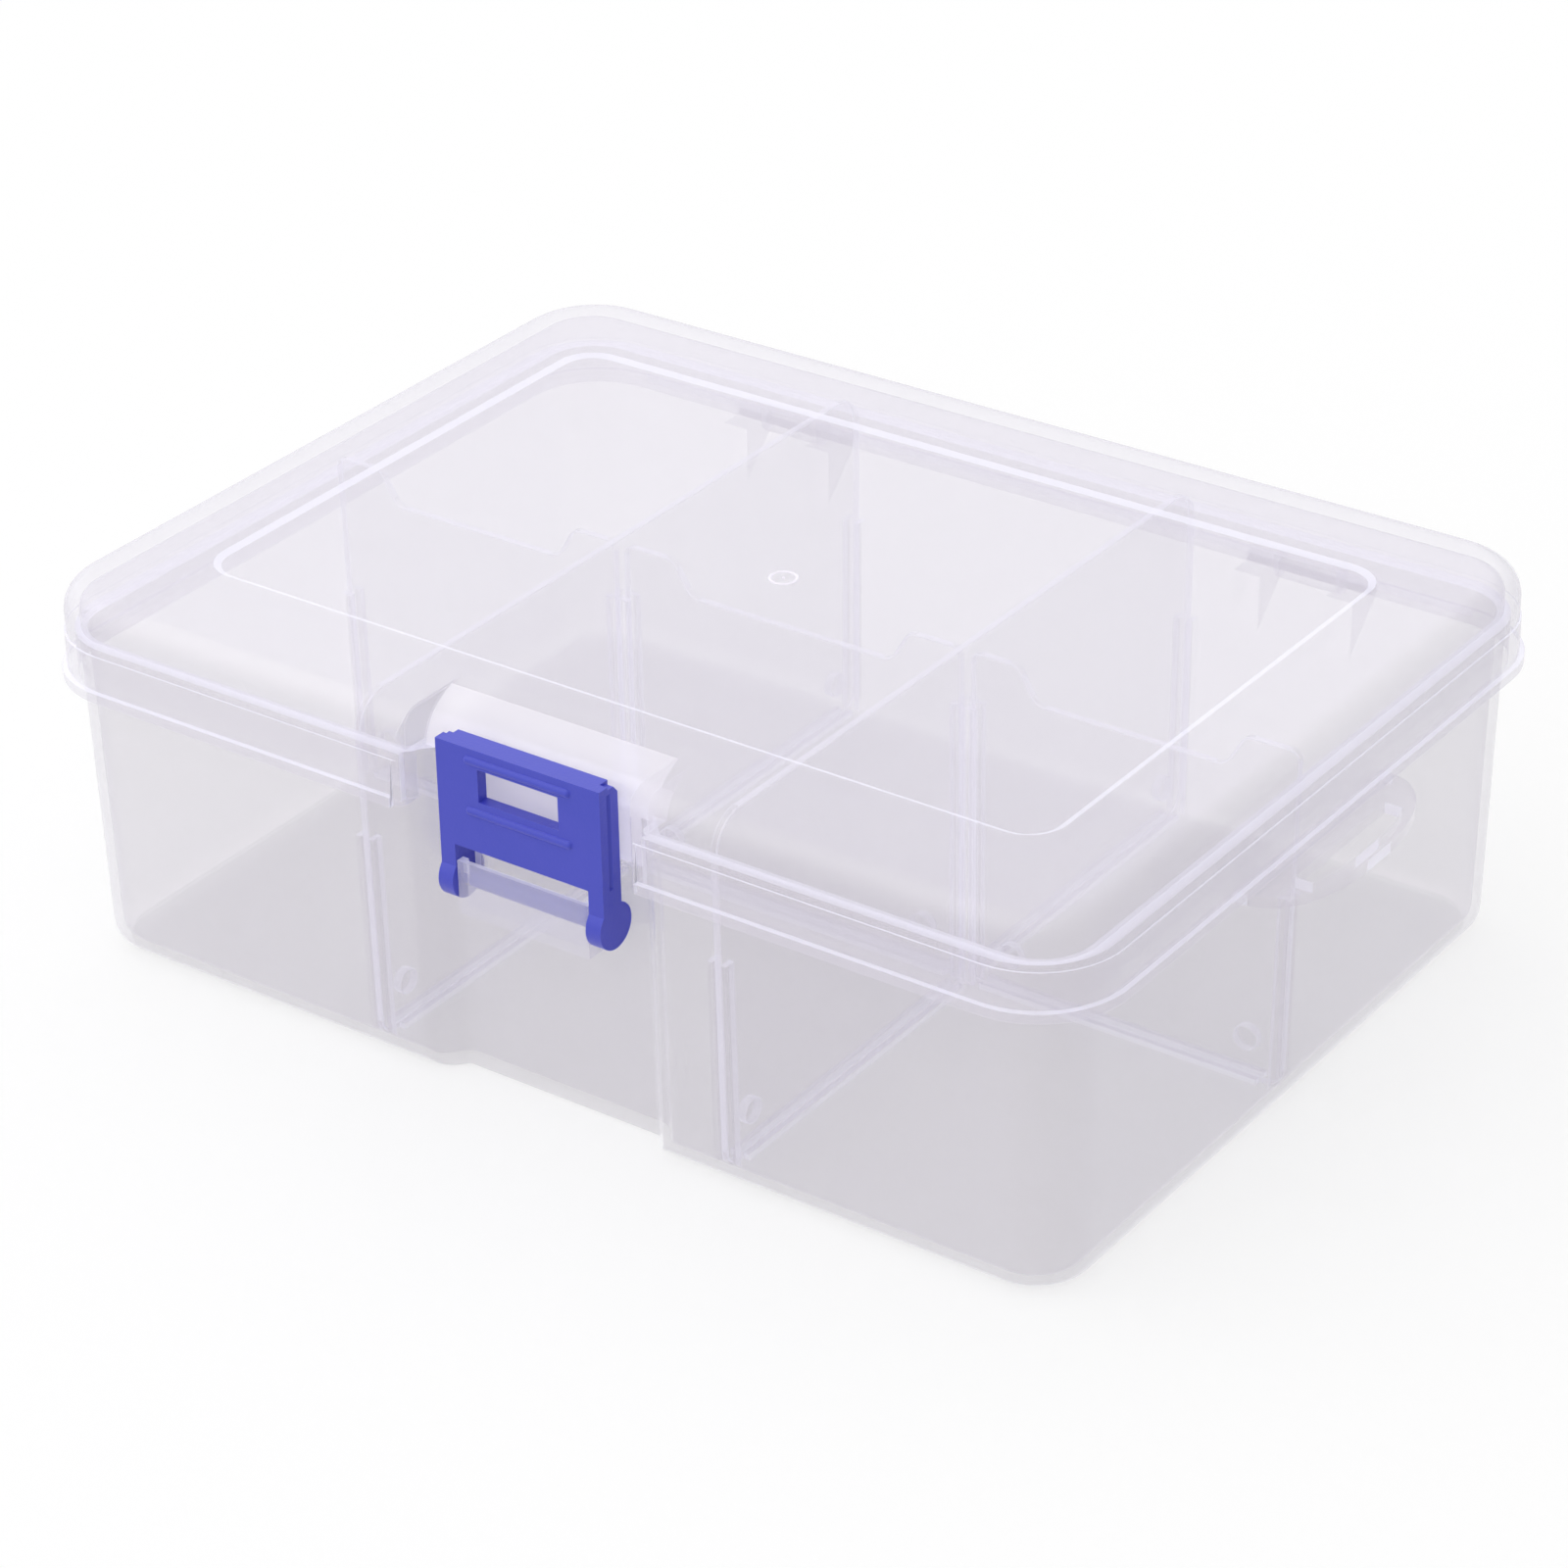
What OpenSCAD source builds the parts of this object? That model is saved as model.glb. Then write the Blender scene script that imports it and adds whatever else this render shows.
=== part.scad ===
// Hinged tackle box: a clear moulded tub with a skirted lid, a snap latch that swings on the
// tub, and lift-out dividers that stand in moulded guides and make the compartments.
// X runs along the latch face, -Y is the latch side, +Y the hinge side and Z is up.
// The origin is at the centre of the tub's footprint, on the surface it stands on.

/* [Tub] */
// Length of the tub at its base
tub_l = 223.7; // [200:0.1:250]
// Depth of the tub at its base, front to back
tub_d = 162.4; // [145:0.1:185]
// Height of the tub's rim
tub_h = 68.4; // [62:0.1:85]
// Draft of the tub's walls, in degrees
draft = 0.9; // [0.6:0.1:1.2]
// Thickness of the tub's walls and floor
tub_wall = 1.8; // [1.4:0.1:2.2]
// Radius of the tub's upright corners
tub_corner = 12; // [9:0.5:16]
// Radius of the tub's bottom edge
foot_r = 5; // [4:0.5:6.5]

/* [Latch recess in the tub] */
// Width of the recess at its face
recess_w = 44; // [42:0.5:50]
// Depth of the recess behind the front wall
recess_depth = 6.6; // [6.2:0.1:7.2]
// Slope of the recess's sides, in degrees
recess_slope = 48; // [40:1:60]
// Radius of the recess's inner corners
recess_r_in = 2; // [1:0.5:3]
// Radius of the recess's outer corners
recess_r_out = 3; // [2.5:0.5:4]

/* [Lid] */
// Height of the lid's top above the tub's rim
lid_rise = 9.6; // [8.5:0.1:12]
// How far the lid's skirt reaches below the tub's rim
skirt_lap = 9.4; // [8:0.1:10.5]
// Thickness of the skirt
skirt_wall = 2; // [1.6:0.1:2.2]
// Thickness of the lid's top
lid_top_t = 2; // [1.6:0.1:2.4]
// Gap between the tub's wall and the skirt
skirt_gap = 1.5; // [1.2:0.1:1.8]
// How much rounder the skirt's corners are than the tub's
skirt_blend = 2; // [0:0.5:3]
// Step where the lid narrows above the tub's rim
skirt_step = 0.3; // [0.2:0.1:0.6]
// How far the lid's ledge covers the tub's rim
ledge = 0.5; // [0.4:0.1:0.9]
// Gap between the tub's rim and the lid's ledge
rim_gap = 0.3; // [0.2:0.05:0.5]
// Radius of the lid's top edge
lid_edge_r = 5.5; // [4.5:0.5:7]
// Width of the lip round the skirt's foot
lip_w = 1; // [0.8:0.1:1.6]
// Thickness of the lip
lip_t = 2; // [1.4:0.1:3]
// Length of the sunk panel in the lid's top
panel_l = 190; // [160:1:200]
// Depth of the sunk panel, front to back
panel_d = 121; // [100:1:125]
// Corner radius of the sunk panel
panel_r = 8; // [5:0.5:12]
// How far the panel is sunk
panel_sink = 0.6; // [0.3:0.1:0.8]
// Width of the panel's sloping border
panel_slope = 1.5; // [1:0.1:2]

/* [Latch notch in the lid] */
// Width of the notch
notch_w = 51; // [46:0.5:56]
// Radius of the notch's rounded brow
notch_r = 11.5; // [10:0.5:12]
// Radius of the notch's outer corners
notch_corner = 2; // [1:0.5:2.5]
// Thickness of the notch's walls
face_wall = 1.7; // [1.4:0.1:2]
// Gap between the notch's walls and the tub's recess
face_gap = 0.9; // [0.8:0.1:1.2]
// Width of the catch ridge on the notch's face
catch_w = 28; // [20:1:29]
// Height of the catch ridge
catch_t = 1.5; // [1:0.1:1.8]
// How far the catch ridge stands out from the notch's face
catch_out = 1.7; // [1.4:0.1:2]

/* [Latch] */
// Width of the latch
latch_w = 36.7; // [34:0.1:40]
// Height of the latch's top above its pivot
latch_h = 28.7; // [28.2:0.1:30]
// Thickness of the latch's plate
latch_t = 2.4; // [2:0.1:2.6]
// Depth of the latch's side flanges
flange_depth = 5.3; // [4.8:0.1:5.4]
// Thickness of the latch's legs and side flanges
leg_t = 3.3; // [2.6:0.1:3.6]
// Depth of the hook under the latch's top edge
hook_t = 3.2; // [2.4:0.1:3.4]
// How far the hook reaches over the catch ridge
hook_over = 0.7; // [0.4:0.1:1]
// Gap between the hook and the catch ridge
hook_gap = 0.3; // [0.2:0.05:0.5]
// Width of the latch's window
window_w = 18; // [12:0.5:22]
// Height of the latch's window
window_h = 6.7; // [5:0.1:7]
// Height of the latch's lower edge above its pivot
bridge_z = 7.8; // [7.8:0.1:9]
// Radius of the knuckles at the legs' feet
knuckle_r = 4.6; // [4:0.1:4.7]
// Radius of the pivot bar between the knuckles
bar_r = 2; // [1.6:0.1:2.1]
// Length of the two finger ribs on the latch
grip_l = 24; // [16:1:28]
// Radius of the finger ribs
grip_r = 0.9; // [0.6:0.1:1.2]

/* [Latch bracket on the tub] */
// Drop of the pivot below the tub's rim
pivot_drop = 22.1; // [21.5:0.1:22.6]
// Distance of the pivot ahead of the recess's face
pivot_out = 5.2; // [5.1:0.05:5.4]
// Distance of the latch's front ahead of its pivot
latch_out = 3.4; // [3.3:0.05:3.6]
// Reach of the bracket below the pivot
bracket_down = 6.5; // [5:0.1:6.6]
// Reach of the bracket above the pivot
bracket_up = 4.5; // [3.5:0.1:5]
// Thickness of the bracket's cheeks and floor
bracket_t = 1.4; // [1:0.1:1.8]
// Thickness of the bracket's front wall
bracket_front = 1; // [0.8:0.1:1.1]
// Side gap between the bracket and the latch's legs
side_gap = 0.3; // [0.2:0.05:0.5]
// Radial running clearance of the pivots
run_gap = 0.06; // [0.03:0.01:0.1]

/* [Side handle] */
// Length of the handle along the wall
handle_l = 52; // [40:1:64]
// Reach of the handle from the tub's side wall
handle_out = 14.4; // [13:0.1:18]
// Thickness of the handle's plate
handle_t = 2.2; // [1.8:0.1:3]
// Length of the handle's slot
slot_l = 32; // [20:1:34]
// Width of the handle's slot
slot_w = 5.4; // [5:0.1:6]
// Width of the bar outside the slot
handle_bar = 2.4; // [2:0.1:4]
// Gap between the lid's lip and the handle
handle_gap = 1.2; // [0.6:0.1:2]

/* [Hinges] */
// Distance of each hinge from the middle
hinge_x = 62; // [40:1:75]
// Width of the lid's knuckle
lid_knuckle_w = 14; // [10:0.5:20]
// Width of each of the tub's ears
ear_w = 6; // [4:0.5:8]
// End gap between a knuckle and its ears
ear_gap = 0.4; // [0.3:0.05:0.6]
// Outer radius of the ears and the knuckle
hinge_r = 2.8; // [2.6:0.1:3.2]
// Radius of the hinge pin
pin_r = 1.25; // [1:0.05:1.4]
// How far each pin stands out of its ears
pin_out = 0.6; // [0.3:0.1:1]
// Radial grip of the ears on the pin
pin_grip = 0.02; // [0.01:0.01:0.03]
// Drop of the hinge axis below the lip
axis_drop = 1.8; // [1.6:0.1:2.4]
// Gap between the lip and the ears
lip_gap = 0.6; // [0.4:0.1:1]

/* [Dividers] */
// Thickness of the dividers
div_t = 1.5; // [1.2:0.1:2]
// Distance of the long dividers from the middle
div_x = 40; // [34:1:48]
// Gap between the long dividers' top and the lid
div_gap = 1.7; // [1:0.1:3]
// How much lower the short dividers' top is
short_drop = 1.3; // [0.5:0.1:3]
// Radius of the long dividers' top corners
div_top_r = 7; // [4:0.5:10]
// Side clearance of a divider in its guides
guide_gap = 0.15; // [0.1:0.05:0.3]
// End clearance of a divider
end_gap = 0.4; // [0.3:0.05:0.8]
// Depth of the finger dip in a short divider's top
dip_depth = 7; // [4:0.5:12]
// Width of the dip in the outer short dividers
dip_w = 40; // [24:1:44]
// Width of the dip in the middle short divider
dip_w_mid = 46; // [28:1:48]

/* [Guides] */
// Thickness of the guide ribs
rib_t = 1.2; // [0.8:0.1:1.6]
// Depth of the guide ribs on the walls
rib_depth = 2.5; // [1.5:0.1:3]
// Height of the guides on the front and back walls
guide_h = 45.5; // [30:0.5:55]
// Height of the guides on the side walls
guide_side_h = 43; // [30:0.5:55]
// Depth of the guide ribs on the long dividers
div_rib = 2; // [1.2:0.1:3]
// Height of the guide ribs on the long dividers
div_rib_h = 60; // [40:1:64]
// Height of the rails on the floor
rail_h = 1.2; // [0.6:0.1:2]

/* [Hidden] */
$fn = 48;
lean = tan(draft);
rim_l = tub_l + 2 * tub_h * lean;
rim_d = tub_d + 2 * tub_h * lean;
lid_z = tub_h + lid_rise;
skirt_z = tub_h - skirt_lap;
skirt_l = rim_l + 2 * (skirt_gap + skirt_wall);
skirt_d = rim_d + 2 * (skirt_gap + skirt_wall);
skirt_corner = tub_corner + skirt_gap + skirt_wall + skirt_blend;
recess_rim_y = -rim_d / 2 + recess_depth;
notch_y = recess_rim_y - face_gap - face_wall;
brow_y = notch_y + notch_r;
brow_z = lid_z - notch_r;
pivot_z = tub_h - pivot_drop;
pivot_y = -tub_d / 2 - pivot_z * lean + recess_depth - pivot_out;
latch_y = pivot_y - latch_out;
latch_top = pivot_z + latch_h;
catch_y = notch_y - catch_out;
catch_z = latch_top - hook_t - hook_gap;
bracket_w = latch_w - 2 * (leg_t + side_gap);
axis_z = skirt_z - axis_drop;
axis_y = skirt_d / 2 + lip_w + sqrt(pow(hinge_r + lip_gap, 2) - pow(axis_drop, 2));
ear_x = lid_knuckle_w / 2 + ear_gap;
pin_l = 2 * (ear_x + ear_w + pin_out);
handle_z = skirt_z - handle_gap - handle_t;
div_top = lid_z - lid_top_t - div_gap;
short_top = div_top - short_drop;
guide_in = div_t / 2 + guide_gap;
guide_out = guide_in + rib_t;
inner_r = foot_r - tub_wall;
clear = "lavender";

// Half the inside length or depth of the tub at height z, from its outside base size.
function inside(size, z) = size / 2 - tub_wall + z * lean;

// Points of a round corner of radius r about (x, y), from angle a to angle b.
function corner(x, y, r, a, b, n = 8) =
    [for (i = [0:n]) let (t = a + (b - a) * i / n) [x + r * cos(t), y + r * sin(t)]];

// Points of a dip, left to right: w wide at its floor, d deep, with sides that slope at a
// degrees and blend into the floor with ri and into the top with ro.
function dip(w, d, a, ri, ro, n = 6) =
    let (f = w / 2 - ri * tan(a / 2), t = w / 2 + d / tan(a) + ro * tan(a / 2),
         half = concat([for (i = [0:n]) let (p = a * i / n) [t - ro * sin(p), ro - ro * cos(p)]],
                       [for (i = [n:-1:0]) let (p = a * i / n) [f + ri * sin(p),
                                                                d - ri + ri * cos(p)]]))
    concat([for (p = half) [-p[0], p[1]]], [for (i = [len(half) - 1:-1:0]) half[i]]);

module rounded_rect(l, d, r) {
    square([l - 2 * r, d], center = true);
    square([l, d - 2 * r], center = true);
    for (sx = [-1, 1], sy = [-1, 1]) translate([sx * (l / 2 - r), sy * (d / 2 - r)]) circle(r);
}

module at_corners(l, d, r)
    for (sx = [-1, 1], sy = [-1, 1]) translate([sx * (l / 2 - r), sy * (d / 2 - r)]) children();

// A box with round upright corners r and a round edge e at one end: at its foot when e_up is
// false, at its top when it is true. The other end is 2 * grow longer and wider.
module rounded_block(l, d, h, r, e, e_up = false, grow = 0) {
    hull() {
        at_corners(l, d, r) translate([0, 0, e_up ? h - e : e])
            rotate_extrude($fn = 40) translate([r - e, 0]) circle(e, $fn = 32);
        at_corners(l + 2 * grow, d + 2 * grow, r) translate([0, 0, e_up ? 0 : h - 0.01])
            cylinder(h = 0.01, r = r, $fn = 40);
    }
}

// Places its children on the wall that faces angle a, half being that wall's distance at the
// base. X runs along the wall, Y into the tub from the wall's outside and Z up the wall.
module on_wall(a, half) rotate(a) translate([0, -half, 0]) rotate([draft, 0, 0]) children();

module tub_shell() {
    difference() {
        rounded_block(tub_l, tub_d, tub_h, tub_corner, foot_r, grow = tub_h * lean);
        front_recess(0);
        difference() {
            translate([0, 0, tub_wall])
                rounded_block(2 * inside(tub_l, tub_wall), 2 * inside(tub_d, tub_wall),
                              tub_h, tub_corner - tub_wall, inner_r, grow = tub_h * lean);
            front_recess(tub_wall);
        }
    }
}

// The recess that the latch lies in, with its wall's thickness added for the inside.
module front_recess(grow) {
    on_wall(0, tub_d / 2) translate([0, 0, -foot_r]) linear_extrude(tub_h + 3 * foot_r)
        polygon(concat([[-tub_l / 4, -foot_r], [-tub_l / 4, grow - 0.01]],
                       [for (p = dip(recess_w + 2 * grow * tan(recess_slope / 2), recess_depth,
                                     recess_slope, recess_r_in + grow, recess_r_out - grow))
                           [p[0], p[1] + grow - 0.01]],
                       [[tub_l / 4, grow - 0.01], [tub_l / 4, -foot_r]]));
}

// Two upright ribs on a wall that a divider's end stands between.
module wall_guide(h) {
    m = foot_r - (foot_r - tub_wall / 2) * cos(45);
    for (s = [-1, 1]) translate([s * (guide_in + rib_t / 2), 0, 0])
        rotate([90, 0, 90]) linear_extrude(rib_t, center = true)
            polygon([[tub_wall / 2, h], [tub_wall + rib_depth, h],
                     [tub_wall + rib_depth, tub_wall / 2], [m, m], [tub_wall / 2, foot_r]]);
}

// Two low rails on the floor along X, from x0 to x1, on each side of a divider's foot.
module floor_rails(x0, x1)
    for (s = [-1, 1])
        translate([x0, s * (guide_in + rib_t / 2) - rib_t / 2, tub_wall / 2])
            cube([x1 - x0, rib_t, tub_wall / 2 + rail_h]);

module guides() {
    keep = guide_out + div_rib;
    for (s = [-1, 1]) {
        for (a = [0, 180]) on_wall(a, tub_d / 2) translate([s * div_x, 0, 0]) wall_guide(guide_h);
        on_wall(s * 90, tub_l / 2) wall_guide(guide_side_h);
        for (a = [90, -90]) translate([s * div_x, 0, 0]) rotate(a)
            floor_rails(keep, inside(tub_d, 0) - foot_r);
        rotate(s > 0 ? 0 : 180) floor_rails(div_x + keep, inside(tub_l, 0) - foot_r);
    }
    floor_rails(keep - div_x, div_x - keep);
}

// The open-topped bracket that the latch's pivot bar snaps down into.
module bracket() {
    wall_y = pivot_y + pivot_out;
    depth = wall_y - latch_y;
    difference() {
        translate([-bracket_w / 2, latch_y, pivot_z - bracket_down])
            cube([bracket_w, depth + tub_wall / 2, bracket_down + bracket_up]);
        translate([-bracket_w / 2 + bracket_t, latch_y + bracket_front,
                   pivot_z - bracket_down + bracket_t])
            cube([bracket_w - 2 * bracket_t, depth - bracket_front, bracket_down + bracket_up]);
        translate([0, pivot_y, pivot_z]) rotate([0, 90, 0])
            cylinder(r = bar_r + run_gap, h = bracket_w + 2, center = true);
        translate([-bracket_w / 2 - 1, pivot_y - 0.85 * bar_r, pivot_z])
            cube([bracket_w + 2, 1.7 * bar_r, bracket_up + 1]);
    }
}

// The flat handle on the side wall, with its corners swept in and a slot along its bar.
module handle() {
    root = tub_l / 2 - tub_wall / 2 + handle_z * lean;
    tip = tub_l / 2 + handle_z * lean + handle_out;
    sweep_y = 0.42 * handle_l;
    mid_y = handle_l / 2 - sweep_y;
    sweep_x = handle_out - slot_w / 2;
    function swept(x, y, ax, ay, n = 12) =
        [for (i = [0:n]) [x + ax * cos(90 * i / n), y + ay * sin(90 * i / n)]];
    edge = swept(tip - sweep_x, mid_y, sweep_x, sweep_y);
    slot_in = tip - handle_bar - slot_w;
    translate([0, 0, handle_z]) difference() {
        linear_extrude(handle_t)
            polygon(concat(edge, [[root, handle_l / 2], [root, -handle_l / 2]],
                           [for (i = [len(edge) - 1:-1:0]) [edge[i][0], -edge[i][1]]]));
        translate([0, 0, -1]) linear_extrude(handle_t + 2) intersection() {
            polygon(concat([for (p = edge) [p[0] - handle_bar, p[1]]],
                           [for (i = [len(edge) - 1:-1:0])
                               [edge[i][0] - handle_bar, -edge[i][1]]]));
            translate([slot_in, -slot_l / 2]) square([slot_w + 1, slot_l]);
        }
    }
}

// One ear of a hinge: a ring for the pin on a web that runs down the tub's back wall.
module ear() {
    wall_y = tub_d / 2 + (axis_z - 3 * hinge_r) * lean - tub_wall / 2;
    low = axis_z - 4.5 * hinge_r;
    difference() {
        union() {
            translate([0, axis_y, axis_z]) rotate([0, 90, 0]) cylinder(r = hinge_r, h = ear_w);
            rotate([90, 0, 90]) linear_extrude(ear_w)
                polygon([[wall_y, low], [wall_y, axis_z],
                         [axis_y, axis_z], [axis_y + hinge_r, axis_z],
                         [axis_y + 0.7071 * hinge_r, axis_z - 0.7071 * hinge_r]]);
        }
        translate([-1, axis_y, axis_z]) rotate([0, 90, 0])
            cylinder(r = pin_r - pin_grip, h = ear_w + 2);
    }
}

module tub() {
    color(clear) {
        tub_shell();
        guides();
        bracket();
        handle();
        for (s = [-1, 1], e = [-1, 1])
            translate([s * hinge_x + (e > 0 ? ear_x : -ear_x - ear_w), 0, 0]) ear();
    }
}

// Everything in front of the lid's notch: a square mouth whose face rounds back over the brow.
module notch(grow) {
    w = notch_w / 2 + grow;
    intersection() {
        translate([0, 0, -1]) linear_extrude(2 * lid_z) {
            translate([-w, -skirt_d]) square([2 * w, skirt_d]);
            if (grow == 0) for (s = [-1, 1]) scale([s, 1]) difference() {
                translate([w - 0.01, -skirt_d / 2 - 2 * lip_w])
                    square([notch_corner, notch_corner + 2 * lip_w]);
                translate([w + notch_corner, notch_corner - skirt_d / 2]) circle(notch_corner);
            }
        }
        difference() {
            translate([-skirt_l / 2, -skirt_d, -1]) cube([skirt_l, skirt_d + brow_y, 2 * lid_z]);
            translate([0, brow_y, brow_z]) rotate([0, 90, 0])
                cylinder(r = notch_r - grow, h = skirt_l, center = true, $fn = 64);
            translate([-skirt_l / 2, brow_y - notch_r + grow, -2])
                cube([skirt_l, skirt_d, brow_z + 2]);
        }
    }
}

module lid_outside() {
    translate([0, 0, skirt_z]) linear_extrude(tub_h - skirt_z)
        rounded_rect(skirt_l, skirt_d, skirt_corner);
    translate([0, 0, skirt_z]) linear_extrude(lip_t)
        rounded_rect(skirt_l + 2 * lip_w, skirt_d + 2 * lip_w, skirt_corner + lip_w);
    translate([0, 0, tub_h - 1])
        rounded_block(skirt_l - 2 * skirt_step, skirt_d - 2 * skirt_step, lid_rise + 1,
                      skirt_corner - skirt_step, lid_edge_r, e_up = true);
}

// The hollow of the skirt that goes over the tub's rim. The notch's walls stand in it as far
// as the tub's own recess leaves room for them.
module skirt_inside() {
    difference() {
        translate([0, 0, skirt_z - 1]) linear_extrude(skirt_lap + rim_gap + 1)
            rounded_rect(skirt_l - 2 * skirt_wall, skirt_d - 2 * skirt_wall,
                         skirt_corner - skirt_wall);
        intersection() {
            notch(face_wall);
            front_recess(-face_gap);
        }
    }
}

// The shallower hollow over the rim, inside the ledge that covers it.
module crown_inside() {
    difference() {
        translate([0, 0, tub_h - 1])
            rounded_block(rim_l - 2 * ledge, rim_d - 2 * ledge, lid_rise - lid_top_t + 1,
                          tub_corner - ledge, lid_edge_r - lid_top_t, e_up = true);
        notch(face_wall);
    }
}

module lid_knuckle() {
    difference() {
        union() {
            rotate([0, 90, 0]) cylinder(r = hinge_r, h = lid_knuckle_w, center = true);
            rotate([90, 0, 90]) linear_extrude(lid_knuckle_w, center = true)
                polygon([[0, 0], [0, hinge_r], [skirt_d / 2 - axis_y, axis_drop + lip_t],
                         [skirt_d / 2 - axis_y, axis_drop], [skirt_d / 2 + lip_w - axis_y,
                         axis_drop], [-hinge_r, 0]]);
        }
        rotate([0, 90, 0])
            cylinder(r = pin_r + run_gap, h = lid_knuckle_w + 2, center = true);
    }
}

module lid() {
    color(clear) {
        difference() {
            lid_outside();
            notch(0);
            skirt_inside();
            crown_inside();
            hull() for (i = [0, 1]) translate([0, 0, lid_z - panel_sink * (1 - i)])
                linear_extrude(0.01 + i) rounded_rect(panel_l - 2 * panel_slope * (1 - i),
                                                      panel_d - 2 * panel_slope * (1 - i),
                                                      panel_r - panel_slope * (1 - i));
        }
        intersection() {
            translate([-catch_w / 2, catch_y, catch_z - catch_t])
                cube([catch_w, notch_r / 2 + catch_out, catch_t]);
            translate([-catch_w / 2, catch_y, 0]) cube([catch_w, catch_out + 1.5, lid_z]);
        }
        for (s = [-1, 1]) translate([s * hinge_x, axis_y, axis_z]) lid_knuckle();
    }
}

// A finger rib that lies along the latch's front.
module grip(z) {
    translate([0, 0.35 * grip_r, z]) {
        rotate([0, 90, 0]) cylinder(r = grip_r, h = grip_l - 2 * grip_r, center = true, $fn = 24);
        for (s = [-1, 1]) translate([s * (grip_l / 2 - grip_r), 0, 0]) sphere(grip_r, $fn = 24);
    }
}

// The latch: a plate with a window, flanged sides that run down into legs, a hook under the
// top edge and a pivot bar between the legs' knuckles. Y = 0 is the plate's front here.
module latch() {
    top = latch_h;
    hook_y = catch_y - latch_y + hook_over;
    window_z = top - hook_t - 0.6 - window_h;
    color("royalblue") translate([0, latch_y, pivot_z]) {
        difference() {
            union() {
                translate([-latch_w / 2, 0, bridge_z])
                    cube([latch_w, latch_t, top - bridge_z]);
                translate([-latch_w / 2 + leg_t / 2, 0, top - hook_t])
                    cube([latch_w - leg_t, hook_y, hook_t]);
                for (s = [-1, 1]) translate([s * (latch_w - leg_t) / 2, 0, 0])
                    rotate([90, 0, 90]) linear_extrude(leg_t, center = true)
                        polygon([[0, 0], [flange_depth, 0], [flange_depth, top - 2],
                                 [flange_depth - 1.2, top - 0.6], [0, top - 0.6]]);
            }
            translate([-window_w / 2, -1, window_z]) cube([window_w, latch_t + 2, window_h]);
            for (s = [-1, 1]) translate([s * latch_w / 2, latch_t + 0.2, 0])
                rotate(45) translate([-0.4, -0.4, bridge_z]) cube([0.8, 0.8, top - bridge_z - 1.6]);
        }
        grip(top - 2.4);
        grip(window_z - 2.3);
        translate([0, latch_out, 0]) rotate([0, 90, 0]) {
            for (s = [-1, 1]) translate([0, 0, s * (latch_w - leg_t) / 2])
                cylinder(r = knuckle_r, h = leg_t, center = true);
            cylinder(r = bar_r, h = latch_w - leg_t, center = true);
        }
    }
}

module hinge_pin(side)
    color("silver") translate([side * hinge_x - pin_l / 2, axis_y, axis_z]) rotate([0, 90, 0])
        cylinder(r = pin_r, h = pin_l);
module hinge_pin_left() hinge_pin(-1);
module hinge_pin_right() hinge_pin(1);

// A long divider, standing across the tub between its front and back guides.
module long_divider(side) {
    low = tub_wall;
    foot = inside(tub_d, low) - end_gap;
    head = inside(tub_d, div_top) - end_gap - (div_top - tub_h) * lean;
    r = inner_r + end_gap;
    color(clear) translate([side * div_x, 0, 0]) {
        rotate([90, 0, 90]) linear_extrude(div_t, center = true)
            polygon(concat(corner(r - foot, low + r, r, 180, 270),
                           corner(foot - r, low + r, r, 270, 360),
                           corner(head - div_top_r, div_top - div_top_r, div_top_r, 0, 90),
                           corner(div_top_r - head, div_top - div_top_r, div_top_r, 90, 180)));
        for (sx = [-1, 1], sy = [-1, 1])
            translate([sx > 0 ? 0 : -div_t / 2 - div_rib,
                       sy * (guide_in + rib_t / 2) - rib_t / 2, low])
                cube([div_t / 2 + div_rib, rib_t, div_rib_h]);
    }
}
module long_divider_left() long_divider(-1);
module long_divider_right() long_divider(1);

// A short divider from x0 to x1, with a finger dip in its top edge. An end that meets the
// tub's wall leans with it and is cut round the tub's bottom edge.
module short_divider(x0, x1, w, lean0, lean1) {
    low = tub_wall;
    r0 = lean0 > 0 ? inner_r + end_gap : 1;
    r1 = lean1 > 0 ? inner_r + end_gap : 1;
    top = short_top;
    rise = top - low;
    mid = (x0 + x1) / 2;
    cut = dip(w, dip_depth, 60, 3, 3);
    color(clear) rotate([90, 0, 0]) linear_extrude(div_t, center = true)
        polygon(concat(corner(x0 + r0, low + r0, r0, 180, 270),
                       corner(x1 - r1, low + r1, r1, 270, 360),
                       corner(x1 + rise * lean1 - 2, top - 2, 2, 0, 90),
                       [for (i = [len(cut) - 1:-1:0]) [mid + cut[i][0], top - cut[i][1]]],
                       corner(x0 - rise * lean0 + 2, top - 2, 2, 90, 180)));
}
module short_divider_left()
    short_divider(end_gap - inside(tub_l, tub_wall), -div_x - div_t / 2 - end_gap, dip_w, lean, 0);
module short_divider_right()
    short_divider(div_x + div_t / 2 + end_gap, inside(tub_l, tub_wall) - end_gap, dip_w, 0, lean);
module short_divider_middle()
    short_divider(div_t / 2 + end_gap - div_x, div_x - div_t / 2 - end_gap, dip_w_mid, 0, 0);

tub();
lid();
latch();
hinge_pin_left();
hinge_pin_right();
long_divider_left();
long_divider_right();
short_divider_left();
short_divider_middle();
short_divider_right();
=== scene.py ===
import math

import bpy
from mathutils import Matrix, Vector


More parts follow.
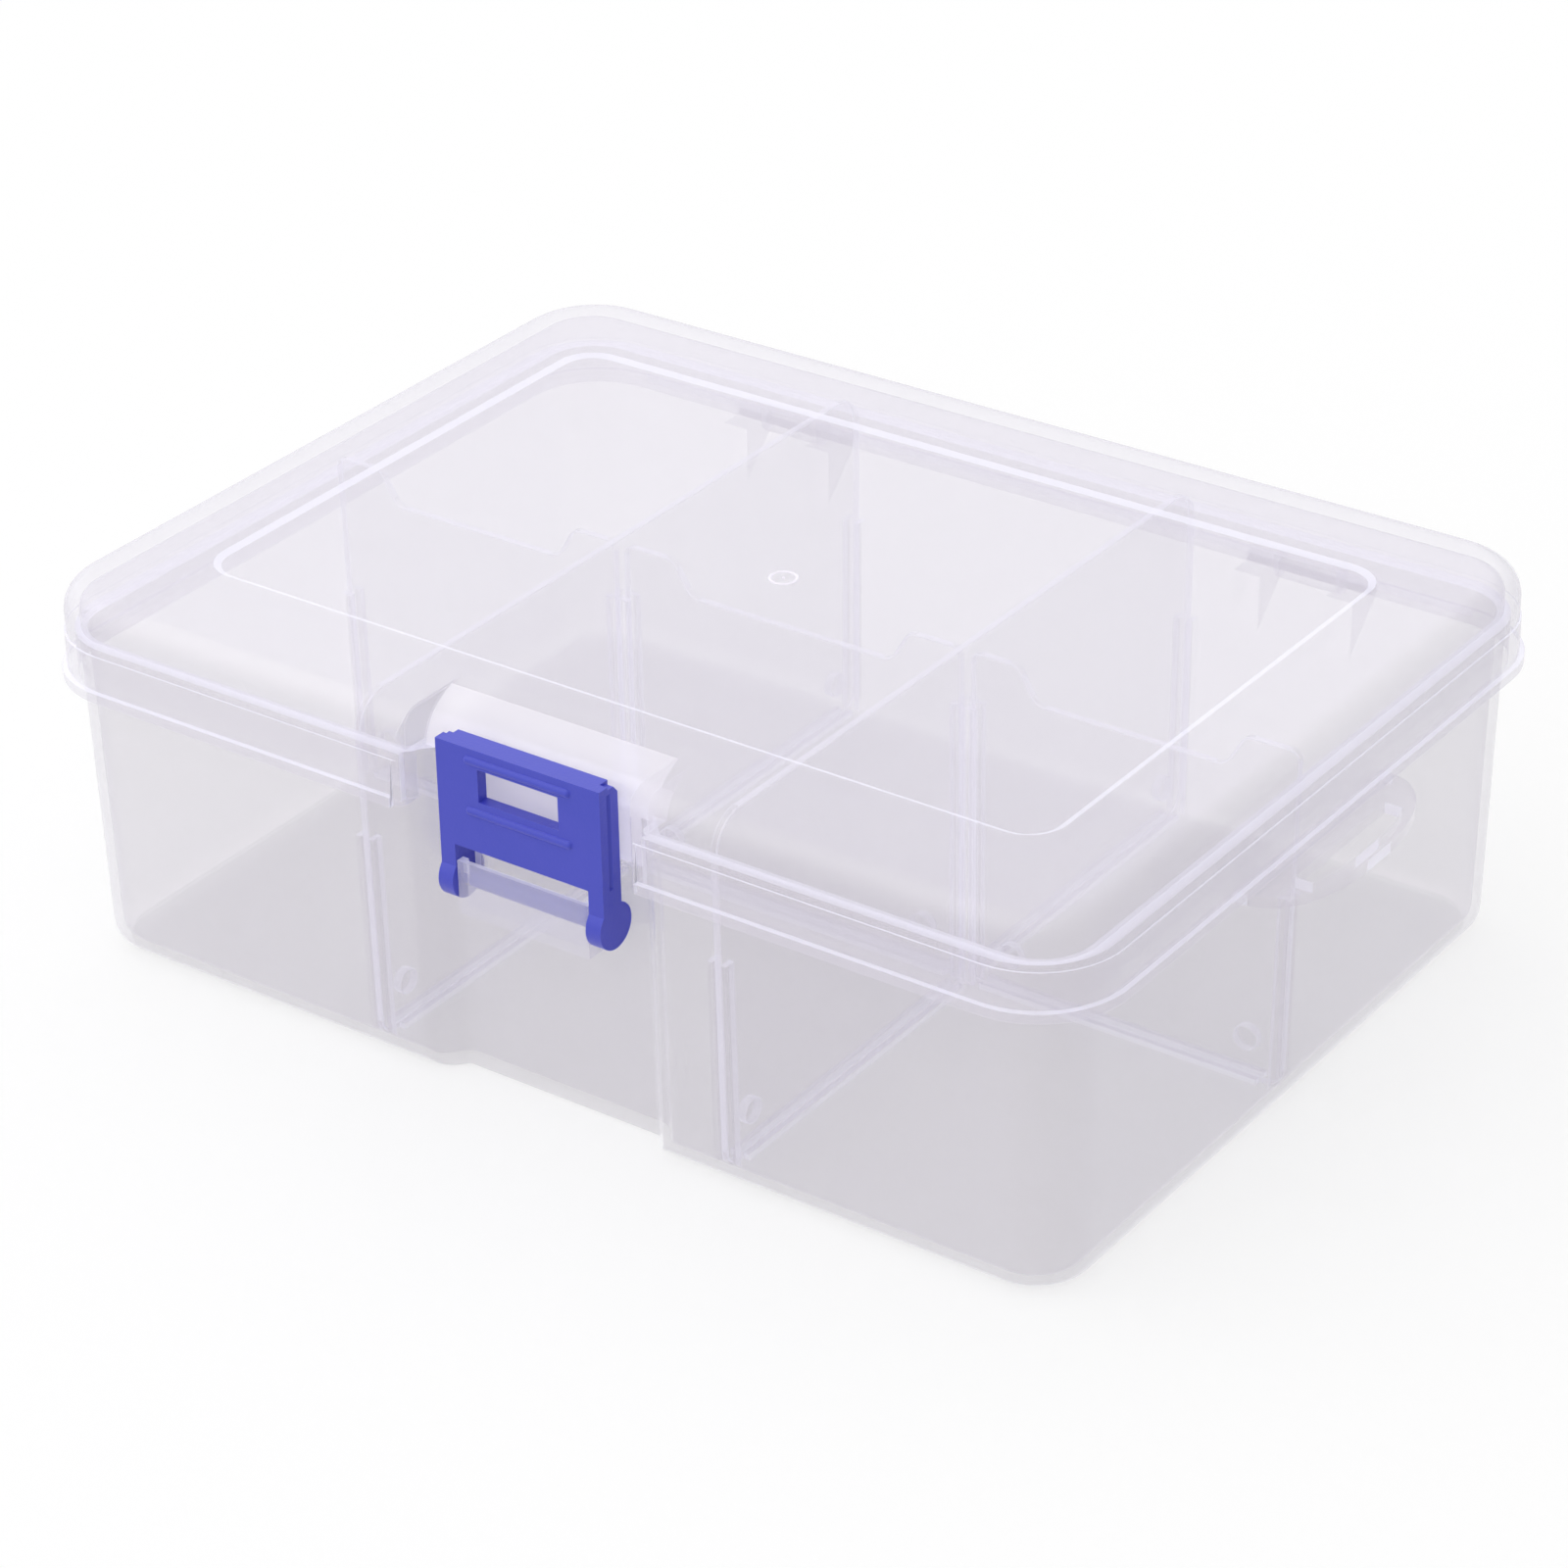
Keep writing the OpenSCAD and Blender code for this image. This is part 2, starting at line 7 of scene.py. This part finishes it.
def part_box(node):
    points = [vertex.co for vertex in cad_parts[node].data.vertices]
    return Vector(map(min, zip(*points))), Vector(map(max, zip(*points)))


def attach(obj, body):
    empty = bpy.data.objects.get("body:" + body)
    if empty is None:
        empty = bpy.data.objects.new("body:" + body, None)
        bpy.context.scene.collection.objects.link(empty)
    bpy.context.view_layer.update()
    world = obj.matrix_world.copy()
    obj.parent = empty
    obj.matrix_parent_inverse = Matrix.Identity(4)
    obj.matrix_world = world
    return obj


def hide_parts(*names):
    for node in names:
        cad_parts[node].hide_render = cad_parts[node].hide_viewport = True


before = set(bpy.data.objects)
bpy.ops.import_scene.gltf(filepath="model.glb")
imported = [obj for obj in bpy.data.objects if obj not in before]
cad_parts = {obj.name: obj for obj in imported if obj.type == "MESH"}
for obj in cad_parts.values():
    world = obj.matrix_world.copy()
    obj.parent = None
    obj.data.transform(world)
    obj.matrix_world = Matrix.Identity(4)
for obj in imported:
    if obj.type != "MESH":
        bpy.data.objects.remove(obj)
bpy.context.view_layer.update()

bpy.ops.object.select_all(action="DESELECT")
scene = bpy.context.scene


# Tub. One clear moulding with drafted walls, soft corners and a recess up its front for the
# latch. Its bracket, side handle, hinge ears and divider guides are moulded on. The plastic is
# milky and lets most light through; its edges are painted a paler lilac, a painted highlight, and
# it carries a faint painted glow.
class Socket:
    """A node's output, on which arithmetic adds Math nodes to the same finish."""

    def __init__(self, finish, output):
        self.finish, self.output = finish, output

    def math(self, operation, first, second):
        return self.finish.node("ShaderNodeMath", {"operation": operation}, [first, second])[0]

    def __add__(self, other):
        return self.math("ADD", self, other)

    def __mul__(self, other):
        return self.math("MULTIPLY", self, other)

    def __rsub__(self, other):
        return self.math("SUBTRACT", other, self)

    def __pow__(self, other):
        return self.math("POWER", self, other)

    __radd__, __rmul__ = __add__, __mul__


class Finish:
    """One finish of the box, or of the room round it, built node by node."""

    def __init__(self, owner, color=(1, 1, 1)):
        self.owner = owner
        owner.use_nodes = True
        owner.node_tree.nodes.clear()
        if hasattr(owner, "diffuse_color"):
            owner.diffuse_color = (*color, 1)

    def node(self, kind, settings=None, inputs=None):
        made = self.owner.node_tree.nodes.new(kind)
        for key, value in (settings or {}).items():
            setattr(made, key, value)
        pairs = inputs.items() if isinstance(inputs, dict) else enumerate(inputs or [])
        for key, value in pairs:
            if isinstance(value, Socket):
                self.owner.node_tree.links.new(value.output, made.inputs[key])
            elif value is not None:
                made.inputs[key].default_value = value
        return [Socket(self, output) for output in made.outputs]

    def blend(self, amount, dark, light):
        """A colour between two, by an amount from 0 to 1."""
        return self.node("ShaderNodeMix", {"data_type": "RGBA"},
                         {0: amount, 6: (*dark, 1), 7: (*light, 1)})[2]

    def noise(self, size, detail=2.0, stretch=(1, 1, 1)):
        """A cloudy pattern on the piece, whose patches are about size across, in metres."""
        place = self.node("ShaderNodeTexCoord")[3]
        turned = self.node("ShaderNodeMapping", {}, {"Vector": place, "Scale": stretch})[0]
        return self.node("ShaderNodeTexNoise", {},
                         {"Vector": turned, "Scale": 1 / size, "Detail": detail})[0]

    def bump(self, height, depth, strength=1.0):
        """Normals that follow a pattern's height, with waves up to depth, in metres."""
        return self.node("ShaderNodeBump", {}, {"Height": height, "Distance": depth,
                                               "Strength": strength})[0]

    def end(self, shader, kind="ShaderNodeOutputMaterial"):
        self.node(kind, {}, {"Surface": shader})
        return self.owner


def clear_plastic(name, face_on, edge_on, body, rim, painted_glow=0.0):
    """The clear plastic. face_on and edge_on are its colours where it is seen square on and
    at a slant, and body and rim are its opacity there. painted_glow is the strength of a glow
    painted into it in the edge_on colour: painted light that lightens it even where it lies in
    shade."""
    finish = Finish(bpy.data.materials.new(name), face_on)
    flow = finish.noise(0.05, 2.0)
    ripple = finish.noise(0.014, 1.0, (1, 1, 0.4))
    facing = finish.node("ShaderNodeLayerWeight", {}, {"Blend": 0.5})[1]
    skin = finish.bump(ripple, 0.0003, 0.25)
    tint = finish.blend(facing, face_on, edge_on)
    cover = body + facing ** 3.0 * (rim - body)
    # The emission is a painted glow, light given off where no lamp is.
    walls = finish.node("ShaderNodeBsdfPrincipled", {}, {
        "Base Color": tint, "Roughness": 0.25 + flow * 0.2, "Alpha": cover, "Normal": skin,
        "IOR": 1.49, "Emission Color": (*edge_on, 1), "Emission Strength": painted_glow})[0]
    shine = finish.node("ShaderNodeBsdfAnisotropic", {},
                        {"Color": (1, 1, 1, 1), "Roughness": 0.16, "Normal": skin})[0]
    gloss = 0.6
    mirror = (facing ** 5.0 * 0.96 + 0.04) * gloss
    return finish.end(finish.node("ShaderNodeMixShader", {}, [mirror, walls, shine])[0])


# The walls carry a faint painted glow. The edge finish is the plastic's own lilac painted paler
# and given a stronger glow: a painted highlight along rounded edges and narrow faces.
clear_wall = clear_plastic("clear_wall", (0.63, 0.58, 0.635), (0.74, 0.71, 0.82), 0.14, 0.45,
                           0.13)
edge_painted_highlight = clear_plastic("edge_painted_highlight", (0.90, 0.88, 0.99), (0.86, 0.85, 1.0), 0.38, 0.80, 0.25)


# The slots after the body hold the painted edge highlight, the floor's painted shade and the
# bracket's painted light.
BODY, HIGHLIGHT_EDGE, SHADED_FLOOR, LIT_BRACKET = range(4)    # the tub's finishes, in the order of its slots


def moulding(node, name, edge_r, finishes, narrow=0.0019):
    """A copy of a moulded piece whose sharp edges are rounded as a mould leaves them. Its
    rounded edges take the second finish, a painted highlight, and so do its faces that are
    narrower than narrow and lie between sharp edges, such as the tops of walls and the fronts of
    ribs."""
    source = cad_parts[node]
    sharp_angle = math.radians(40)
    piece = bpy.data.objects.new(name, source.data.copy())
    scene.collection.objects.link(piece)
    bpy.ops.object.select_all(action="DESELECT")
    bpy.context.view_layer.objects.active = piece
    piece.select_set(True)
    if piece.data.has_custom_normals:
        bpy.ops.mesh.customdata_custom_splitnormals_clear()
    bpy.ops.object.mode_set(mode="EDIT")
    bpy.ops.mesh.select_all(action="SELECT")
    bpy.ops.mesh.remove_doubles(threshold=0.000002)
    bpy.ops.mesh.dissolve_limited(angle_limit=math.radians(0.6))
    bpy.ops.object.mode_set(mode="OBJECT")
    piece.data.materials.clear()
    for finish in finishes:
        piece.data.materials.append(finish)
    if len(finishes) > 1 and narrow:
        around = {}
        for face in piece.data.polygons:
            for key in face.edge_keys:
                around.setdefault(key, []).append(face.normal.copy())
        for face in piece.data.polygons:
            length = {key: (piece.data.vertices[key[0]].co
                            - piece.data.vertices[key[1]].co).length for key in face.edge_keys}
            sharp = sum(length[key] for key in face.edge_keys
                        if around[key][0].angle(around[key][-1]) > sharp_angle)
            rim = sum(length.values())
            if 2 * face.area < narrow * rim and sharp > 0.75 * rim:
                face.material_index = HIGHLIGHT_EDGE
    round_off = piece.modifiers.new("edges", "BEVEL")
    round_off.width, round_off.segments = edge_r, 2
    round_off.limit_method, round_off.angle_limit = "ANGLE", sharp_angle
    round_off.use_clamp_overlap = True
    round_off.material = len(finishes) - 1
    bpy.ops.object.modifier_apply(modifier=round_off.name)
    bpy.ops.object.shade_smooth_by_angle(angle=math.radians(35))
    level = piece.modifiers.new("flats", "WEIGHTED_NORMAL")
    level.keep_sharp = True
    bpy.ops.object.modifier_apply(modifier=level.name)
    piece.select_set(False)
    return piece


# The tub's floor is painted darker and more opaque: painted shade for the shadow under the box.
floor_painted_shade = clear_plastic("floor_painted_shade", (0.48, 0.44, 0.49), (0.70, 0.67, 0.78), 0.20, 0.45)
# The bracket behind the latch is painted lighter and given a glow: painted light where the latch
# shades it.
bracket_painted_light = clear_plastic("bracket_painted_light", (0.66, 0.63, 0.70), (0.84, 0.82, 0.95), 0.24, 0.55,
                              0.16)
tub = moulding("tub", "tub_moulding", 0.00035, [clear_wall, edge_painted_highlight])
tub.data.materials.append(floor_painted_shade)
tub.data.materials.append(bracket_painted_light)
floor_top, bracket_top = 0.004, 0.0525
recess_y = -0.0800
latch_low, latch_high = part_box("latch")
for face in tub.data.polygons:
    x, y, z = face.center
    # Upward faces of the floor take the painted shade.
    if abs(face.normal.z) > 0.9 and z < floor_top:
        face.material_index = SHADED_FLOOR
    # Faces of the bracket behind the latch take the painted light.
    elif (face.material_index == BODY and latch_low[0] < x < latch_high[0] and y < recess_y
            and latch_low[2] - 0.001 < z < bracket_top):
        face.material_index = LIT_BRACKET
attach(tub, "tub_body")
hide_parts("tub")


# Dividers. Thin clear plates that drop into the tub's guides: two run from front to back
# and three short ones stand between them, each with a dip in its top for a finger.
clear_plate = clear_plastic("clear_plate", (0.72, 0.68, 0.74), (0.80, 0.77, 0.90), 0.06, 0.40)


def ejector_mark(place, turn):
    """The faint round mark that an ejector pin leaves on both faces of a plate."""
    bpy.ops.mesh.primitive_cylinder_add(vertices=40, radius=0.0026, depth=0.0018,
                                        location=place, rotation=turn)
    mark = bpy.context.object
    bpy.ops.object.transform_apply(location=True, rotation=True, scale=True)
    bpy.ops.object.mode_set(mode="EDIT")
    bpy.ops.mesh.select_all(action="SELECT")
    bpy.ops.mesh.bevel(offset=0.00012, segments=2, affect="EDGES")
    bpy.ops.object.mode_set(mode="OBJECT")
    mark.data.materials.append(clear_plate)
    mark.data.materials.append(edge_painted_highlight)
    # The mark's rim takes the edge finish, a painted highlight.
    for face in mark.data.polygons:
        is_end = len(face.vertices) >= 20
        face.use_smooth = not is_end
        face.material_index = BODY if is_end else HIGHLIGHT_EDGE
    mark.select_set(False)
    return mark


quarter = math.radians(90)
column_x = 0.04
mark_in, mark_up = 0.009, 0.0085
for node in ("long_divider_left", "long_divider_right", "short_divider_left",
             "short_divider_middle", "short_divider_right"):
    plate = moulding(node, node + "_plate", 0.0003, [clear_plate, edge_painted_highlight])
    low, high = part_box(node)
    middle = Vector(((low[0] + high[0]) / 2, (low[1] + high[1]) / 2, low[2] + mark_up))
    marks = []
    for end in (-1, 1):
        if node.startswith("long"):
            place = middle + Vector((0, end * ((high[1] - low[1]) / 2 - mark_in), 0))
            place.x = math.copysign(column_x, place.x)
            marks.append(ejector_mark(place, (0, quarter, 0)))
        else:
            place = middle + Vector((end * ((high[0] - low[0]) / 2 - mark_in), 0, 0))
            marks.append(ejector_mark(place, (quarter, 0, 0)))
    for piece in [plate, *marks]:
        piece.select_set(True)
    bpy.context.view_layer.objects.active = plate
    bpy.ops.object.join()
    plate.select_set(False)
    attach(plate, "tub_body")
    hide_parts(node)


# Lid. A clear moulding with a rounded top edge, a sunk panel and a lipped skirt that drops
# over the tub's rim. Its front is notched for the latch under a rounded brow.
# The lid carries a painted glow. Its catch behind the latch window is painted lighter, more
# opaque and glows more: painted light where the latch shades it.
clear_lid = clear_plastic("clear_lid", (0.76, 0.72, 0.78), (0.60, 0.57, 0.68), 0.18, 0.62, 0.20)
catch_painted_light = clear_plastic("catch_painted_light", (0.80, 0.77, 0.83), (0.80, 0.77, 0.86), 0.30, 0.55,
                            0.40)
lid = moulding("lid", "lid_moulding", 0.00035, [clear_lid, edge_painted_highlight])
lid.data.materials.append(catch_painted_light)
LIT_CATCH = 2
panel_x, panel_y, sunk = 0.09523, 0.06074, 0.0007
notch_x, notch_back = latch_high[0] + 0.006, -0.0700
catch_low = latch_low[2] + 0.004
lid_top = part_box("lid")[1][2]
for face in lid.data.polygons:
    x, y, z = face.center
    # Faces of the step round the sunk panel take the edge finish, a painted highlight line.
    if abs(x) < panel_x and abs(y) < panel_y and z > lid_top - sunk and face.normal.z < 0.985:
        face.material_index = HIGHLIGHT_EDGE
    # Catch faces behind the latch take the painted light.
    elif (face.material_index == BODY and abs(x) < notch_x and y < notch_back
            and z > catch_low and (face.normal.y < -0.25 or face.normal.y > 0.7)):
        face.material_index = LIT_CATCH
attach(lid, "lid_body")
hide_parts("lid")


# Gate mark. The round scar near the middle of the lid's panel where the plastic ran into the
# mould: a low ring with the stub of the sprue inside it.
gate_place = (0, -0.0022, lid_top - 0.0006)
gate_bead = 0.00035
bpy.ops.mesh.primitive_torus_add(location=gate_place, major_segments=48, minor_segments=10,
                                 major_radius=0.0026, minor_radius=gate_bead)
gate = bpy.context.object
gate.name = "lid_gate_mark"
bpy.ops.object.transform_apply(location=True)
bpy.ops.object.mode_set(mode="EDIT")
bpy.ops.mesh.primitive_uv_sphere_add(segments=16, ring_count=8, radius=gate_bead,
                                     location=gate_place)
bpy.ops.mesh.select_all(action="SELECT")
bpy.ops.transform.resize(value=(1, 1, 0.6), center_override=gate_place)
bpy.ops.object.mode_set(mode="OBJECT")
bpy.ops.object.shade_smooth()
# The mark takes the catch finish, with its painted light and glow.
gate.data.materials.append(catch_painted_light)
gate.select_set(False)
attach(gate, "lid_body")


# Latch. A blue moulding that swings on its pivot bar in the tub's bracket and hooks over
# the lid's catch ridge. The plastic is dyed through and cloudy; it is painted lighter where it
# turns from view, a painted sheen, and its rounded edges are painted paler, a painted highlight.
blue = Finish(bpy.data.materials.new("latch_blue"), (0.08, 0.10, 0.55))
blue_cloud = blue.noise(0.008, 3.0)
blue_grain = blue.noise(0.0006, 2.0)
# A painted sheen: the blue is painted lighter where the surface turns from view, mixed with its
# own cloudy tone.
blue_painted_sheen = blue.node("ShaderNodeLayerWeight", {}, {"Blend": 0.4})[1]
latch_blue = blue.end(blue.node("ShaderNodeBsdfPrincipled", {}, {
    "Base Color": blue.blend(blue_cloud * 0.5 + blue_painted_sheen * 0.5, (0.040, 0.058, 0.52),
                             (0.088, 0.090, 0.62)),
    "Roughness": 0.30 + blue_cloud * 0.16,
    "Normal": blue.bump(blue_grain, 0.0001, 0.4), "IOR": 1.49})[0])
# The rounded edges are painted a paler blue, a painted highlight.
blue_painted_highlight = Finish(bpy.data.materials.new("latch_blue_painted_highlight"), (0.16, 0.18, 0.75))
edge_cloud = blue_painted_highlight.noise(0.008, 3.0)
latch_rim_painted_highlight = blue_painted_highlight.end(blue_painted_highlight.node("ShaderNodeBsdfPrincipled", {}, {
    "Base Color": blue_painted_highlight.blend(edge_cloud, (0.115, 0.135, 0.70), (0.17, 0.18, 0.80)),
    "Roughness": 0.18 + edge_cloud * 0.12, "IOR": 1.49})[0])
latch = moulding("latch", "latch_moulding", 0.0004, [latch_blue, latch_rim_painted_highlight], 0.0)
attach(latch, "latch_body")
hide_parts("latch")


# Hinge pins. Short lengths of drawn steel wire, pushed through the ears of each hinge with
# the fine lengthwise marks of the die.
steel = Finish(bpy.data.materials.new("pin_steel"), (0.6, 0.6, 0.62))
die_marks = steel.noise(0.0006, 2.0, (0.05, 1, 1))
pin_steel = steel.end(steel.node("ShaderNodeBsdfPrincipled", {}, {
    "Base Color": steel.blend(die_marks, (0.50, 0.50, 0.52), (0.66, 0.66, 0.68)),
    "Metallic": 1.0, "Roughness": 0.24 + die_marks * 0.18,
    "Normal": steel.bump(die_marks, 0.00005, 0.5)})[0])
for node in ("hinge_pin_left", "hinge_pin_right"):
    pin = moulding(node, node + "_wire", 0.0002, [pin_steel])
    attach(pin, "tub_body")
    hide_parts(node)


# Table. A plain white surface that carries on out of sight, lit so that it reads as white
# and still takes the box's soft shadow.
bpy.ops.mesh.primitive_plane_add(size=6, location=(0, 0, -0.0006))
table = bpy.context.object
table.name = "table"
white = Finish(bpy.data.materials.new("table_white"))
ray = white.node("ShaderNodeLightPath")
from_camera, in_gloss, through_clear = ray[0], ray[3], ray[6]
paper = white.node("ShaderNodeBsdfDiffuse", {}, {
    "Color": white.blend(from_camera, (0.74, 0.74, 0.74), (0.97, 0.97, 0.97))})[0]
glow = white.node("ShaderNodeEmission", {}, {"Color": (1, 1, 1, 1), "Strength": 1.0})[0]
table.data.materials.append(white.end(
    white.node("ShaderNodeMixShader", {},
               [from_camera * 0.60 + in_gloss + through_clear, paper, glow])[0]))
table.select_set(False)


# Light. A white room with one broad softbox overhead, a little to the left and in front. The
# room is dimmer low down in front and on the right, so the walls read darker than the lid.
room = Finish(bpy.data.worlds.new("studio"))
scene.world = room.owner
ray = room.node("ShaderNodeLightPath")
from_camera, in_gloss, through_clear = ray[0], ray[3], ray[6]
toward = room.node("ShaderNodeTexCoord")[0]
softbox = room.node("ShaderNodeVectorMath", {"operation": "DOT_PRODUCT"},
                    [toward, tuple(Vector((-0.52, -0.27, 0.81)).normalized())])[1]
lit = room.node("ShaderNodeMath", {"operation": "MAXIMUM"}, [softbox, 0.0])[0]
seen = room.node("ShaderNodeMath", {"operation": "MAXIMUM"}, [from_camera, through_clear])[0]
sheen = in_gloss * (0.28 + lit ** 6.0 * 0.3)
level = (1 - seen) * (0.50 + lit * 0.95 + sheen) + seen
room.end(room.node("ShaderNodeBackground", {}, {"Color": (1, 1, 1, 1), "Strength": level})[0],
         "ShaderNodeOutputWorld")
room.owner.cycles.sampling_method = "NONE"


# Camera. A long lens, looking down on the latch face and the right side.
lens = bpy.data.cameras.new("camera")
lens.lens, lens.sensor_width = 111.42, 36
camera = bpy.data.objects.new("camera", lens)
right = Vector((0.8163, 0.5774, -0.0160)).normalized()
back = Vector((0.5101, -0.7076, 0.4889)).normalized()
up = back.cross(right).normalized()
right = up.cross(back)
camera.matrix_world = (Matrix.Translation((0.4756, -0.6630, 0.4893))
                       @ Matrix((right, up, back)).transposed().to_4x4())
scene.collection.objects.link(camera)
scene.camera = camera
scene.view_settings.view_transform = "Standard"
scene.cycles.transparent_max_bounces = 32
scene.cycles.max_bounces = 4
bpy.context.view_layer.update()
